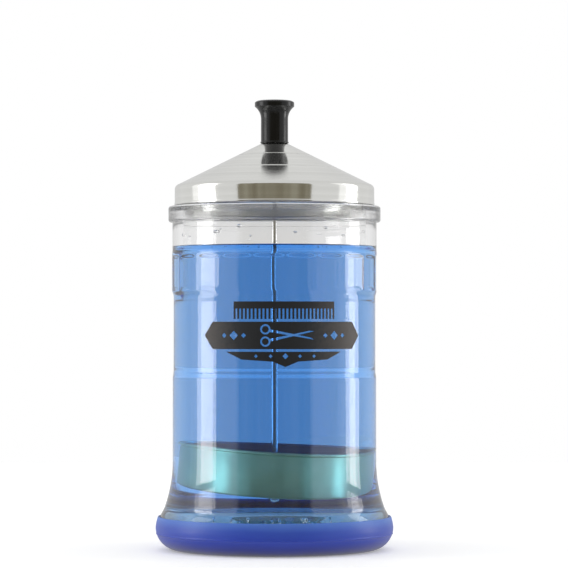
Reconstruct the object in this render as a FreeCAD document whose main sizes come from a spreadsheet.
"""A table-top disinfectant jar: a faceted glass jar in a rubber boot, a spun steel lid with a knob,
and a basket that hangs from the lid on a rod.

Millimetres. +Z is up, the front is -Y, and the origin is the centre of the face that the jar stands on.
Every driving size is a cell of the spreadsheet "Sizes". Each sub-part is a body of its own, whose sketches
and features are bound to those cells.
"""

import FreeCAD
import Part
import Sketcher
import math
import os

# ---------------------------------------------------------------- driving sizes

DRIVING_SIZES = {
    # glass jar
    "body_radius": 50.1,  # over the corners of the upper facets
    "lower_inset": 0.4,  # the lower facets' corners lie this far inside the upper ones
    "band_inset": 0.8,  # depth of the smooth band that carries the print
    "neck_inset": 0.2,
    "glass_wall": 4.8,
    "glass_floor": 14.0,  # at the middle, where the floor is highest
    "trough_depth": 5.0,  # from there down to the trough round the floor's edge
    "facet_count": 20.0,
    "facet_turn": 5.7,  # degrees from the front to the first facet corner
    "collar_top_height": 167.5,  # from the ground to the ledge that the lid rests on
    "collar_height": 7.7,
    "collar_proud": 1.75,
    "collar_round": 1.1,
    "collar_fillet": 0.6,
    "neck_height": 15.2,
    "upper_panel_height": 19.5,
    "band_height": 39.8,
    "flare_top_height": 44.0,
    "facet_run_out": 2.0,  # how far the lower facets run down into the flare
    "flare_foot_height": 19.8,
    "flare_reach": 4.3,
    "heel_reach": 6.1,
    "heel_round": 9.15,
    "shoulder_height": 6.8,
    "finish_inset": 3.5,
    "finish_height": 7.5,
    "finish_round": 1.2,
    "mouth_wall": 3.4,
    "mouth_slope_drop": 2.5,  # from the collar's ledge down to where the mouth starts to narrow
    "mouth_slope_height": 5.0,
    "floor_corner": 5.0,
    "kick_up": 4.5,
    "kick_up_reach": 38.0,
    # boot
    "boot_wall": 1.8,
    "boot_floor": 2.0,
    "boot_height": 16.3,
    "boot_lip": 0.8,
    "boot_side_round": 22.0,
    "boot_opening": 34.0,
    "boot_play": 0.05,
    "boot_seam_height": 8.0,
    "boot_seam_radius": 0.3,
    # printed band
    "print_height": 31.0,
    "print_span": 98.0,  # degrees round the jar
    "print_turn": 6.0,  # degrees to the right of the front
    "print_film": 0.12,
    "print_gap": 0.02,
    # lid
    "lid_gauge": 0.7,
    "lid_play": 0.6,
    "lid_seat_gap": 0.1,
    "hem_width": 1.8,
    "hem_proud": 0.2,
    "hem_neck": 0.7,  # from the hem's widest place up to the straight skirt
    "skirt_height": 9.8,
    "cone_rise": 21.0,
    "cone_flat_radius": 6.3,
    "lid_shoulder_drop": 1.4,
    "lid_shoulder_run": 1.25,
    "lid_shoulder_round": 2.5,
    "lid_ring_depth": 0.25,
    "inner_ring_radius": 17.5,
    "outer_ring_radius": 31.0,
    # rod and its hardware
    "rod_radius": 1.25,
    "thread_play": 0.03,
    "running_play": 0.1,
    "end_play": 0.1,
    "nut_flats": 5.0,
    "nut_height": 2.0,
    "cap_nut_height": 5.0,
    "cap_nut_room": 0.6,  # between the rod's end and the bottom of the cap nut's bore
    "cap_nut_wall": 0.6,
    "dome_inset": 0.2,
    "bushing_flange_radius": 4.5,
    "bushing_flange": 0.8,
    "bushing_wall": 1.25,
    "bushing_tail": 0.8,
    "lid_washer_radius": 5.2,
    "washer_thickness": 0.8,
    # knob
    "knob_height": 20.9,
    "knob_top_radius": 9.65,
    "knob_waist_radius": 6.65,
    "knob_foot_radius": 6.95,
    "knob_foot_height": 0.7,
    "knob_brim": 2.0,
    "knob_edge_drop": 0.8,
    "knob_edge_run": 2.1,
    "knob_edge_round": 3.2,
    "knob_flare_height": 6.0,
    "knob_recess_play": 0.5,
    "insert_radius": 2.5,
    "insert_length": 12.5,
    "insert_groove": 0.4,
    "rod_engagement": 11.0,
    # basket
    "basket_clearance": 6.35,  # between the rim of the basket and the jar's mouth
    "basket_height": 23.0,
    "basket_ground": 11.7,  # from the jar's floor to the middle of the basket's hub
    "sheet_gauge": 0.6,
    "rim_radius": 0.8,
    "lip_reach": 3.0,  # the strip's lower edge is turned in by this much, under the floor
    "strip_bend": 0.6,
    "floor_play": 0.1,
    "hub_plate_radius": 9.0,
    "spool_flange_radius": 7.0,
    "spool_flange": 1.0,
    "spool_barrel_radius": 3.0,
    "hub_hole_play": 0.4,
    "rock_play": 0.07,
    "rock_angle": 4.0,  # degrees that the basket leans each way
    "rock_heading": 63.4,  # degrees from +X to the axis that it leans about
    "drain_radius": 2.4,
    "drain_ring_inner": 13.0,
    "drain_ring_pitch": 7.2,
}
DRAIN_RINGS = (6, 12, 18)  # holes in each ring, from the hub outwards
HEX_SIDES = 6
CUT_MARGIN = 8.0  # how far a cutting shape reaches past what it cuts
SHEET_NAME = "Sizes"
FULL_TURN = 360.0


class Size:
    """A length or angle: its number, and the spreadsheet expression that gives it."""

    def __init__(self, value, text=None):
        self.value = float(value)
        self.text = text or repr(float(value))

    @staticmethod
    def of(other):
        return other if isinstance(other, Size) else Size(other)

    def joined(self, other, sign, value):
        return Size(value, f"({self.text} {sign} {Size.of(other).text})")

    def __add__(self, other):
        return self.joined(other, "+", self.value + Size.of(other).value)

    def __sub__(self, other):
        return self.joined(other, "-", self.value - Size.of(other).value)

    def __mul__(self, other):
        return self.joined(other, "*", self.value * Size.of(other).value)

    def __truediv__(self, other):
        return self.joined(other, "/", self.value / Size.of(other).value)

    def __neg__(self):
        return Size(-self.value, f"(-1 * {self.text})")

    def root(self):
        return Size(math.sqrt(self.value), f"sqrt({self.text})")

    def sine(self):
        return Size(math.sin(math.radians(self.value)), f"sin({self.text} * 1 deg)")

    def cosine(self):
        return Size(math.cos(math.radians(self.value)), f"cos({self.text} * 1 deg)")


ZERO = Size(0)


class Sizes:
    """The spreadsheet's cells, each as an attribute with its alias as name."""

    def __init__(self, doc):
        sheet = doc.addObject("Spreadsheet::Sheet", SHEET_NAME)
        for row, (alias, number) in enumerate(DRIVING_SIZES.items(), start=1):
            sheet.set(f"A{row}", alias.replace("_", " "))
            sheet.set(f"B{row}", repr(number))
            sheet.setAlias(f"B{row}", alias)
        doc.recompute()
        for alias in DRIVING_SIZES:
            setattr(self, alias, Size(sheet.get(alias), f"{SHEET_NAME}.{alias}"))


# ---------------------------------------------------------------- modelling helpers


def new_body(doc, label):
    body = doc.addObject("PartDesign::Body", label)
    body.Label = label
    return body


def plane_of(body, role):
    return next(f for f in body.Origin.OriginFeatures if f.Role == role)


def new_sketch(body, name, role="XZ_Plane", height=None):
    """A sketch on one of the body's origin planes, raised to a height if one is given."""
    sketch = body.newObject("Sketcher::SketchObject", name)
    sketch.AttachmentSupport = [(plane_of(body, role), "")]
    sketch.MapMode = "FlatFace"
    if height is not None:
        sketch.AttachmentOffset = FreeCAD.Placement(
            FreeCAD.Vector(0, 0, height.value), FreeCAD.Rotation()
        )
        sketch.setExpression("AttachmentOffset.Base.z", height.text)
    return sketch


def bind(sketch, kind, *args):
    """Adds a constraint whose last argument is a Size, and binds it to the Size's expression."""
    *where, size = args
    index = sketch.addConstraint(Sketcher.Constraint(kind, *where, size.value))
    sketch.setExpression(f"Constraints[{index}]", size.text)


def pin_point(sketch, geometry, point, x, y):
    """Fixes a sketch point at (x, y)."""
    if x is ZERO:
        sketch.addConstraint(Sketcher.Constraint("PointOnObject", geometry, point, -2))
    else:
        bind(sketch, "DistanceX", -1, 1, geometry, point, x)
    if y is ZERO:
        sketch.addConstraint(Sketcher.Constraint("PointOnObject", geometry, point, -1))
    else:
        bind(sketch, "DistanceY", -1, 1, geometry, point, y)


def arc_through(start, end, radius, side):
    """An arc edge between two points. side is 1 if it bulges to the left of the way from start to end."""
    chord = end - start
    half = chord.Length / 2
    sag = radius - math.sqrt(max(radius * radius - half * half, 0.0))
    left = FreeCAD.Vector(-chord.y, chord.x, 0).normalize()
    middle = (start + end) * 0.5 + left * (side * sag)
    return Part.Arc(start, middle, end).toShape().Curve


def outline(sketch, steps):
    """Draws a closed outline. Each step is (x, y) for a straight edge that ends there, or
    (x, y, radius, side) for an arc, and the last step ends at the first one's point."""
    points = [FreeCAD.Vector(step[0].value, step[1].value, 0) for step in steps]
    count = len(steps)
    ends = []
    for i, step in enumerate(steps):
        start, end = points[i - 1], points[i]
        if len(step) == 2:
            index = sketch.addGeometry(Part.LineSegment(start, end), False)
            ends.append((index, 1, 2))
            continue
        radius, side = step[2], step[3]
        circle = arc_through(start, end, radius.value, side)
        centre = circle.Center
        first, last = (end, start) if side > 0 else (start, end)
        low = math.atan2(first.y - centre.y, first.x - centre.x)
        high = math.atan2(last.y - centre.y, last.x - centre.x)
        flat = Part.Circle(centre, FreeCAD.Vector(0, 0, 1), circle.Radius)
        index = sketch.addGeometry(Part.ArcOfCircle(flat, low, high), False)
        bind(sketch, "Radius", index, radius)
        ends.append((index, 2, 1) if side > 0 else (index, 1, 2))
    for i in range(count):
        here, after = ends[i], ends[(i + 1) % count]
        sketch.addConstraint(
            Sketcher.Constraint("Coincident", here[0], here[2], after[0], after[1])
        )
        pin_point(sketch, here[0], here[2], steps[i][0], steps[i][1])


def circle(sketch, radius, x=ZERO, y=ZERO):
    centre = FreeCAD.Vector(x.value, y.value, 0)
    round_edge = Part.Circle(centre, FreeCAD.Vector(0, 0, 1), radius.value)
    index = sketch.addGeometry(round_edge, False)
    bind(sketch, "Radius", index, radius)
    if x is ZERO and y is ZERO:
        sketch.addConstraint(Sketcher.Constraint("Coincident", index, 3, -1, 1))
    else:
        pin_point(sketch, index, 3, x, y)


def regular_polygon(sketch, sides, corner_radius, first_corner):
    """A regular polygon round the sketch's origin. first_corner is its first corner's angle, in degrees."""
    for i in range(sides):
        corners = []
        for step in (i, i + 1):
            turn = first_corner + FULL_TURN * step / sides
            corners.append((corner_radius * turn.cosine(), corner_radius * turn.sine()))
        (x0, y0), (x1, y1) = corners
        sketch.addGeometry(
            Part.LineSegment(
                FreeCAD.Vector(x0.value, y0.value, 0), FreeCAD.Vector(x1.value, y1.value, 0)
            ),
            False,
        )
        pin_point(sketch, i, 1, x0, y0)
    for i in range(sides):
        sketch.addConstraint(Sketcher.Constraint("Coincident", i, 2, (i + 1) % sides, 1))


def revolve(body, sketch, name="Turned", angle=None):
    """A full turn of the sketch about the body's Z axis, or the given angle, half of it each way."""
    turned = body.newObject("PartDesign::Revolution", name)
    turned.Profile = sketch
    turned.ReferenceAxis = (sketch, ["V_Axis"])
    turned.Angle = FULL_TURN if angle is None else angle.value
    if angle is not None:
        turned.Midplane = True
        turned.setExpression("Angle", angle.text)
    body.Tip = turned
    return turned


def groove(body, sketch, name="Grooved"):
    cut = body.newObject("PartDesign::Groove", name)
    cut.Profile = sketch
    cut.ReferenceAxis = (sketch, ["V_Axis"])
    cut.Angle = FULL_TURN
    body.Tip = cut
    return cut


def pad(body, sketch, length, name="Padded"):
    raised = body.newObject("PartDesign::Pad", name)
    raised.Profile = sketch
    raised.Length = length.value
    raised.setExpression("Length", length.text)
    body.Tip = raised
    return raised


def pocket_up(body, sketch, depth, name):
    """Cuts upwards from the sketch's plane."""
    cut = body.newObject("PartDesign::Pocket", name)
    cut.Profile = sketch
    cut.Length = depth.value
    cut.setExpression("Length", depth.text)
    cut.Reversed = True
    body.Tip = cut
    return cut


def turned_piece(doc, label, steps):
    """A body that is one outline turned about the Z axis."""
    body = new_body(doc, label)
    sketch = new_sketch(body, f"{label}_outline")
    outline(sketch, steps)
    revolve(body, sketch)
    return body


def raise_to(body, height):
    """Lifts a body, which was drawn round its own origin, to a height on the Z axis."""
    body.Placement = FreeCAD.Placement(
        FreeCAD.Vector(0, 0, height.value), body.Placement.Rotation
    )
    body.setExpression("Placement.Base.z", height.text)


def ring(doc, label, bore, outer, low, high):
    """A plain washer or sleeve."""
    return turned_piece(doc, label, [(bore, low), (outer, low), (outer, high), (bore, high)])


def tangent_radius(reach, rise):
    """The radius of an arc that starts along the rise and ends a reach to the side."""
    return (reach * reach + rise * rise) / (reach * 2)


# ---------------------------------------------------------------- places shared by several pieces


class Places:
    """Heights and radii at which the pieces meet."""

    def __init__(self, s):
        self.jar_floor = s.boot_floor + s.glass_floor
        self.bore = s.body_radius - s.glass_wall
        self.lower_radius = s.body_radius - s.lower_inset
        self.band_radius = s.body_radius - s.band_inset
        self.collar_low = s.collar_top_height - s.collar_height
        self.facet_top = self.collar_low - s.neck_height
        self.band_top = self.facet_top - s.upper_panel_height
        self.band_low = self.band_top - s.band_height
        self.heel = s.body_radius + s.heel_reach
        self.finish = s.body_radius - s.finish_inset
        self.finish_top = s.collar_top_height + s.finish_height
        self.mouth = self.finish - s.mouth_wall
        self.hem_low = s.collar_top_height + s.lid_seat_gap
        self.hem_inner = self.finish + s.lid_play
        self.skirt = self.hem_inner + s.hem_width - s.hem_proud
        self.skirt_top = self.hem_low + s.skirt_height
        self.lid_top = self.skirt_top + s.cone_rise
        self.knob_low = self.lid_top + s.end_play
        self.insert_low = self.lid_top + s.bushing_flange + s.end_play
        self.insert_top = self.insert_low + s.insert_length
        self.bushing_low = self.lid_top - s.lid_gauge - s.bushing_tail
        self.lid_washer_top = self.bushing_low - s.end_play
        self.hub_height = self.jar_floor + s.basket_ground
        rock = s.spool_flange_radius * s.rock_angle.sine()
        self.groove_half = s.sheet_gauge + rock + s.rock_play
        self.rim = self.mouth - s.basket_clearance
        self.basket_radius = self.rim - s.rim_radius
        self.stop_nut_low = self.groove_half + s.spool_flange + s.end_play
        self.cap_bore = s.cap_nut_height - s.cap_nut_wall
        self.rod_low = self.hub_height - self.stop_nut_low - self.cap_bore + s.cap_nut_room
        self.rod_top = self.insert_low + s.rod_engagement
        self.tight_bore = s.rod_radius + s.thread_play
        self.running_bore = s.rod_radius + s.running_play


# ---------------------------------------------------------------- jar, boot and print


def facet_cut(body, s, name, low, high, corner_radius):
    """Cuts the round wall between two heights down to flat facets."""
    sketch = new_sketch(body, f"{name}_sketch", "XY_Plane", low)
    sides = int(s.facet_count.value)
    regular_polygon(sketch, sides, corner_radius, s.facet_turn - FULL_TURN / 4)
    circle(sketch, corner_radius + CUT_MARGIN)
    pocket_up(body, sketch, high - low, name)


def make_glass_jar(doc, s, p):
    """The jar: a thick foot with a kick-up, a flared heel, two faceted zones with a smooth band
    between them, a round neck, a collar, and a plain finish that goes up inside the lid."""
    ground = s.boot_floor
    collar = s.body_radius + s.collar_proud
    neck = s.body_radius - s.neck_inset
    collar_edge = p.collar_low + s.collar_round
    mouth_low = s.collar_top_height - s.mouth_slope_drop
    trough = p.jar_floor - s.trough_depth
    foot_bore = p.bore + s.flare_reach
    floor_reach = foot_bore - s.floor_corner
    flare_foot = p.lower_radius + s.flare_reach
    shoulder_low = s.flare_foot_height - s.shoulder_height
    flare_rise = s.flare_top_height - s.flare_foot_height
    heel_arc = tangent_radius(p.heel - flare_foot, s.shoulder_height)
    body = turned_piece(
        doc,
        "glass_jar",
        [
            (ZERO, ground + s.kick_up),
            (s.kick_up_reach, ground, tangent_radius(s.kick_up, s.kick_up_reach), 1),
            (p.heel - s.heel_round, ground),
            (p.heel, ground + s.heel_round, s.heel_round, -1),
            (p.heel, shoulder_low),
            (flare_foot, s.flare_foot_height, heel_arc, -1),
            (p.lower_radius, s.flare_top_height, tangent_radius(s.flare_reach, flare_rise), 1),
            (p.lower_radius, p.band_low),
            (p.band_radius, p.band_low),
            (p.band_radius, p.band_top),
            (s.body_radius, p.band_top),
            (s.body_radius, p.facet_top),
            (neck, p.facet_top),
            (neck, p.collar_low - s.collar_fillet),
            (neck + s.collar_fillet, p.collar_low, s.collar_fillet, 1),
            (collar - s.collar_round, p.collar_low),
            (collar, collar_edge, s.collar_round, -1),
            (collar, s.collar_top_height - s.collar_round),
            (collar - s.collar_round, s.collar_top_height, s.collar_round, -1),
            (p.finish, s.collar_top_height),
            (p.finish, p.finish_top - s.finish_round),
            (p.finish - s.finish_round, p.finish_top, s.finish_round, -1),
            (p.mouth + s.finish_round, p.finish_top),
            (p.mouth, p.finish_top - s.finish_round, s.finish_round, -1),
            (p.mouth, mouth_low + s.mouth_slope_height),
            (p.bore, mouth_low),
            (p.bore, s.flare_top_height),
            (foot_bore, s.flare_foot_height, tangent_radius(s.flare_reach, flare_rise), -1),
            (foot_bore, trough + s.floor_corner),
            (floor_reach, trough, s.floor_corner, 1),
            (ZERO, p.jar_floor, tangent_radius(s.trough_depth, floor_reach), -1),
        ],
    )
    facet_low = s.flare_top_height - s.facet_run_out
    facet_cut(body, s, "LowerFacets", facet_low, p.band_low, p.lower_radius)
    facet_cut(body, s, "UpperFacets", p.band_top, p.facet_top, s.body_radius)
    return body


def make_base_boot(doc, s, p):
    """The rubber boot: a cup with an open middle that grips the heel, with its mould seam."""
    inner = p.heel + s.boot_play
    outer = inner + s.boot_wall
    corner = s.heel_round + s.boot_play
    outer_corner = corner + s.boot_wall
    body = turned_piece(
        doc,
        "base_boot",
        [
            (s.boot_opening, ZERO),
            (outer - outer_corner, ZERO),
            (outer, outer_corner, outer_corner, -1),
            (inner + s.boot_lip, s.boot_height, s.boot_side_round, -1),
            (inner, s.boot_height),
            (inner, s.boot_floor + corner),
            (inner - corner, s.boot_floor, corner, 1),
            (s.boot_opening, s.boot_floor),
        ],
    )
    drop = outer_corner - s.boot_seam_height
    reach = (outer_corner * outer_corner - drop * drop).root()
    sketch = new_sketch(body, "base_boot_seam")
    circle(sketch, s.boot_seam_radius, outer - outer_corner + reach, s.boot_seam_height)
    revolve(body, sketch, "MouldSeam")
    return body


def make_front_print(doc, s, p):
    """The field of the badge that is printed on the smooth band."""
    middle = (p.band_low + p.band_top) / 2
    low, high = middle - s.print_height / 2, middle + s.print_height / 2
    inner = p.band_radius + s.print_gap
    outer = inner + s.print_film
    body = new_body(doc, "front_print")
    sketch = new_sketch(body, "front_print_outline")
    outline(sketch, [(inner, low), (outer, low), (outer, high), (inner, high)])
    revolve(body, sketch, angle=s.print_span)
    front = s.print_turn - FULL_TURN / 4
    turn = FreeCAD.Rotation(FreeCAD.Vector(0, 0, 1), front.value)
    body.Placement = FreeCAD.Placement(FreeCAD.Vector(), turn)
    body.setExpression("Placement.Rotation.Angle", f"{front.text} * 1 deg")
    return body


# ---------------------------------------------------------------- lid


def make_lid_shell(doc, s, p):
    """The spun lid: a cone with two ring grooves, a short skirt and a rolled hem."""
    hem_middle = p.hem_low + s.hem_width / 2
    neck = hem_middle + s.hem_neck
    skirt_in = p.skirt - s.lid_gauge
    slope = s.cone_rise / (p.skirt - s.cone_flat_radius)
    gauge_along_axis = s.lid_gauge * (slope * slope + 1).root()
    hole = p.running_bore + s.bushing_wall + s.thread_play
    shoulder_low = p.skirt_top - s.lid_shoulder_drop
    shoulder_high = p.skirt_top + slope * s.lid_shoulder_run
    flat_in = s.cone_flat_radius - (gauge_along_axis - s.lid_gauge) / slope
    inside_high = shoulder_high + slope * s.lid_gauge - gauge_along_axis
    body = turned_piece(
        doc,
        "lid_shell",
        [
            (p.hem_inner, hem_middle),
            (p.hem_inner + s.hem_width, hem_middle, s.hem_width / 2, -1),
            (p.skirt, neck),
            (p.skirt, shoulder_low),
            (p.skirt - s.lid_shoulder_run, shoulder_high, s.lid_shoulder_round, -1),
            (s.cone_flat_radius, p.lid_top),
            (hole, p.lid_top),
            (hole, p.lid_top - s.lid_gauge),
            (flat_in, p.lid_top - s.lid_gauge),
            (skirt_in - s.lid_shoulder_run, inside_high),
            (skirt_in, shoulder_low - s.lid_gauge),
            (skirt_in, neck),
        ],
    )
    for name, radius in (("InnerRing", s.inner_ring_radius), ("OuterRing", s.outer_ring_radius)):
        height = p.lid_top - slope * (radius - s.cone_flat_radius)
        sketch = new_sketch(body, f"{name}_sketch")
        circle(sketch, s.lid_ring_depth, radius, height)
        groove(body, sketch, name)
    return body


def make_lid_bushing(doc, s, p):
    """The nylon bushing that lets the lid turn on the rod."""
    barrel = p.running_bore + s.bushing_wall
    return turned_piece(
        doc,
        "lid_bushing",
        [
            (p.running_bore, p.bushing_low),
            (barrel, p.bushing_low),
            (barrel, p.lid_top),
            (s.bushing_flange_radius, p.lid_top),
            (s.bushing_flange_radius, p.lid_top + s.bushing_flange),
            (p.running_bore, p.lid_top + s.bushing_flange),
        ],
    )


# ---------------------------------------------------------------- rod, knob and hardware


def make_lift_rod(doc, s, p):
    """The rod, with a chamfer at each end."""
    chamfer = s.rod_radius / 3
    return turned_piece(
        doc,
        "lift_rod",
        [
            (ZERO, p.rod_low),
            (s.rod_radius - chamfer, p.rod_low),
            (s.rod_radius, p.rod_low + chamfer),
            (s.rod_radius, p.rod_top - chamfer),
            (s.rod_radius - chamfer, p.rod_top),
            (ZERO, p.rod_top),
        ],
    )


def make_knob(doc, s, p):
    """The knob: a waisted grip that opens to a brim, hollow below for the insert and the bushing."""
    top = p.knob_low + s.knob_height
    brim_high = top - s.knob_edge_drop
    brim_low = brim_high - s.knob_brim
    flare_low = brim_low - s.knob_flare_height
    foot_high = p.knob_low + s.knob_foot_height
    foot_step = s.knob_foot_radius - s.knob_waist_radius
    recess = s.bushing_flange_radius + s.knob_recess_play
    bore = s.insert_radius + s.thread_play
    crown = s.knob_top_radius - s.knob_edge_run
    flare = tangent_radius(s.knob_top_radius - s.knob_waist_radius, s.knob_flare_height)
    return turned_piece(
        doc,
        "knob",
        [
            (recess, p.knob_low),
            (s.knob_foot_radius, p.knob_low),
            (s.knob_foot_radius, foot_high),
            (s.knob_waist_radius, foot_high + foot_step),
            (s.knob_waist_radius, flare_low),
            (s.knob_top_radius, brim_low, flare, 1),
            (s.knob_top_radius, brim_high),
            (crown, top, s.knob_edge_round, -1),
            (ZERO, top),
            (ZERO, p.insert_top + s.thread_play),
            (bore, p.insert_top + s.thread_play),
            (bore, p.insert_low),
            (recess, p.insert_low),
        ],
    )


def make_knob_insert(doc, s, p):
    """The brass insert that is glued into the knob, with a waist that the glue fills."""
    third = s.insert_length / 3
    waist = s.insert_radius - s.insert_groove
    return turned_piece(
        doc,
        "knob_insert",
        [
            (p.tight_bore, p.insert_low),
            (s.insert_radius, p.insert_low),
            (s.insert_radius, p.insert_low + third),
            (waist, p.insert_low + third + s.insert_groove),
            (waist, p.insert_top - third - s.insert_groove),
            (s.insert_radius, p.insert_top - third),
            (s.insert_radius, p.insert_top),
            (p.tight_bore, p.insert_top),
        ],
    )


def hexagon_sketch(body, s, bore=None):
    """A hexagon of the nut's width across its flats, with the bore in it if one is given."""
    sketch = new_sketch(body, f"{body.Label}_hexagon", "XY_Plane")
    corner_radius = s.nut_flats / 2 / Size(FULL_TURN / HEX_SIDES / 2).cosine()
    regular_polygon(sketch, HEX_SIDES, corner_radius, Size(0))
    if bore is not None:
        circle(sketch, bore)
    return sketch


def make_nut(doc, s, p, label, low):
    body = new_body(doc, label)
    pad(body, hexagon_sketch(body, s, p.tight_bore), s.nut_height)
    raise_to(body, low)
    return body


def make_cap_nut(doc, s, p):
    """The domed nut that closes the rod's lower end. It is drawn with its mouth at the origin."""
    body = new_body(doc, "basket_cap_nut")
    hexagon = pad(body, hexagon_sketch(body, s), s.nut_height)
    hexagon.Reversed = True
    dome_low = -s.cap_nut_height
    dome_radius = s.nut_flats / 2 - s.dome_inset
    dome = new_sketch(body, "basket_cap_nut_dome")
    outline(
        dome,
        [
            (ZERO, dome_low),
            (dome_radius, dome_low + dome_radius, dome_radius, -1),
            (dome_radius, -s.nut_height / 2),
            (ZERO, -s.nut_height / 2),
        ],
    )
    revolve(body, dome, "Dome")
    bore = new_sketch(body, "basket_cap_nut_bore")
    outline(
        bore,
        [
            (ZERO, -p.cap_bore),
            (p.tight_bore, -p.cap_bore),
            (p.tight_bore, ZERO),
            (ZERO, ZERO),
        ],
    )
    groove(body, bore, "Bore")
    raise_to(body, p.hub_height - p.stop_nut_low)
    return body


def make_hardware(doc, s, p):
    """The washer and nuts that hold the lid and the basket on the rod."""
    washer_low = p.lid_washer_top - s.washer_thickness
    return [
        ring(doc, "lid_washer", p.tight_bore, s.lid_washer_radius, washer_low, p.lid_washer_top),
        make_nut(doc, s, p, "lid_nut", washer_low - s.nut_height),
        make_nut(doc, s, p, "lid_lock_nut", washer_low - s.nut_height * 2),
        make_nut(doc, s, p, "basket_stop_nut", p.hub_height + p.stop_nut_low),
        make_cap_nut(doc, s, p),
    ]


# ---------------------------------------------------------------- basket


def lean_on_hub(body, s, p):
    """Puts a body that was drawn round the hub's middle in its place, leaning as the basket does."""
    toward_x = s.rock_heading.cosine()
    toward_y = s.rock_heading.sine()
    axis = FreeCAD.Vector(toward_x.value, toward_y.value, 0)
    lean = FreeCAD.Rotation(axis, s.rock_angle.value)
    body.Placement = FreeCAD.Placement(FreeCAD.Vector(0, 0, p.hub_height.value), lean)
    body.setExpression("Placement.Base.z", p.hub_height.text)
    body.setExpression("Placement.Rotation.Axis.x", toward_x.text)
    body.setExpression("Placement.Rotation.Axis.y", toward_y.text)
    body.setExpression("Placement.Rotation.Angle", f"{s.rock_angle.text} * 1 deg")


def make_basket_bush(doc, s, p):
    """The flanged bush that the basket hangs on. It turns on the rod."""
    low = -p.groove_half - s.spool_flange
    body = turned_piece(
        doc,
        "basket_bush",
        [
            (p.running_bore, low),
            (s.spool_flange_radius, low),
            (s.spool_flange_radius, -p.groove_half),
            (s.spool_barrel_radius, -p.groove_half),
            (s.spool_barrel_radius, p.groove_half),
            (p.running_bore, p.groove_half),
        ],
    )
    raise_to(body, p.hub_height)
    return body


def make_basket_washer(doc, s, p):
    """The washer that closes the bush from above."""
    body = ring(
        doc,
        "basket_washer",
        p.running_bore,
        s.spool_flange_radius,
        p.groove_half,
        p.groove_half + s.spool_flange,
    )
    raise_to(body, p.hub_height)
    return body


def make_basket_band(doc, s, p):
    """The basket's side: a strip rolled into a ring, with a wired rim and an edge turned in below."""
    inner = p.basket_radius - s.sheet_gauge
    low = -s.sheet_gauge
    outer_bend = s.strip_bend + s.sheet_gauge
    rim_middle = low + s.basket_height - s.rim_radius
    rim_foot = rim_middle - (s.rim_radius * s.rim_radius - s.sheet_gauge * s.sheet_gauge).root()
    body = turned_piece(
        doc,
        "basket_band",
        [
            (inner - s.lip_reach, low),
            (p.basket_radius - outer_bend, low),
            (p.basket_radius, low + outer_bend, outer_bend, -1),
            (p.basket_radius, rim_middle - s.rim_radius),
            (p.rim, rim_middle, s.rim_radius, -1),
            (p.basket_radius, rim_middle + s.rim_radius, s.rim_radius, -1),
            (p.basket_radius - s.rim_radius, rim_middle, s.rim_radius, -1),
            (inner, rim_foot, s.rim_radius, -1),
            (inner, s.strip_bend),
            (inner - s.strip_bend, ZERO, s.strip_bend, 1),
            (inner - s.lip_reach, ZERO),
        ],
    )
    lean_on_hub(body, s, p)
    return body


def make_basket_floor(doc, s, p):
    """The basket's floor: a disc that lies on the strip's lower edge, with rings of drain holes."""
    outer = p.basket_radius - s.sheet_gauge - s.strip_bend - s.floor_play
    hole = s.spool_barrel_radius + s.hub_hole_play
    body = ring(doc, "basket_floor", hole, outer, ZERO, s.sheet_gauge)
    for ring_number, count in enumerate(DRAIN_RINGS):
        radius = s.drain_ring_inner + s.drain_ring_pitch * ring_number
        name = f"DrainRing{ring_number + 1}"
        sketch = new_sketch(body, f"{name}_hole", "XY_Plane")
        circle(sketch, s.drain_radius, radius, ZERO)
        hole_cut = pocket_up(body, sketch, s.sheet_gauge, f"{name}_first")
        holes = body.newObject("PartDesign::PolarPattern", name)
        holes.Originals = [hole_cut]
        holes.Axis = (sketch, ["N_Axis"])
        holes.Angle = FULL_TURN
        holes.Occurrences = count
        body.Tip = holes
    lean_on_hub(body, s, p)
    return body


def make_hub_plate(doc, s, p):
    """The plate under the floor that stiffens it round the bush."""
    hole = s.spool_barrel_radius + s.hub_hole_play
    body = ring(doc, "basket_hub_plate", hole, s.hub_plate_radius, -s.sheet_gauge, ZERO)
    lean_on_hub(body, s, p)
    return body


# ---------------------------------------------------------------- build and export


def build(doc):
    s = Sizes(doc)
    p = Places(s)
    return [
        make_glass_jar(doc, s, p),
        make_base_boot(doc, s, p),
        make_front_print(doc, s, p),
        make_lid_shell(doc, s, p),
        make_lid_bushing(doc, s, p),
        make_lift_rod(doc, s, p),
        make_knob(doc, s, p),
        make_knob_insert(doc, s, p),
        *make_hardware(doc, s, p),
        make_basket_bush(doc, s, p),
        make_basket_washer(doc, s, p),
        make_basket_band(doc, s, p),
        make_basket_floor(doc, s, p),
        make_hub_plate(doc, s, p),
    ]


def check(doc, bodies):
    """Stops before anything is written if an object failed or a shape isn't a valid solid."""
    for item in doc.Objects:
        if "Invalid" in item.State or "Error" in item.State:
            raise SystemExit(f"{item.Label} failed: {item.State}")
    for body in bodies:
        shape = body.Shape
        if shape.isNull() or not shape.isValid() or shape.Volume <= 0:
            raise SystemExit(f"{body.Label} has no valid solid")
        if len(shape.Solids) != 1:
            raise SystemExit(f"{body.Label} has {len(shape.Solids)} solids")


def main():
    doc = FreeCAD.newDocument("DisinfectantJar")
    bodies = build(doc)
    doc.recompute()
    check(doc, bodies)
    os.makedirs("parts", exist_ok=True)
    for body in bodies:
        body.Shape.exportStep(f"parts/{body.Label}.step")
        box = body.Shape.BoundBox
        print(
            f"{body.Label}: {body.Shape.Volume:.1f} mm3, z {box.ZMin:.2f} to {box.ZMax:.2f},"
            f" x {box.XMin:.2f} to {box.XMax:.2f}"
        )


main()
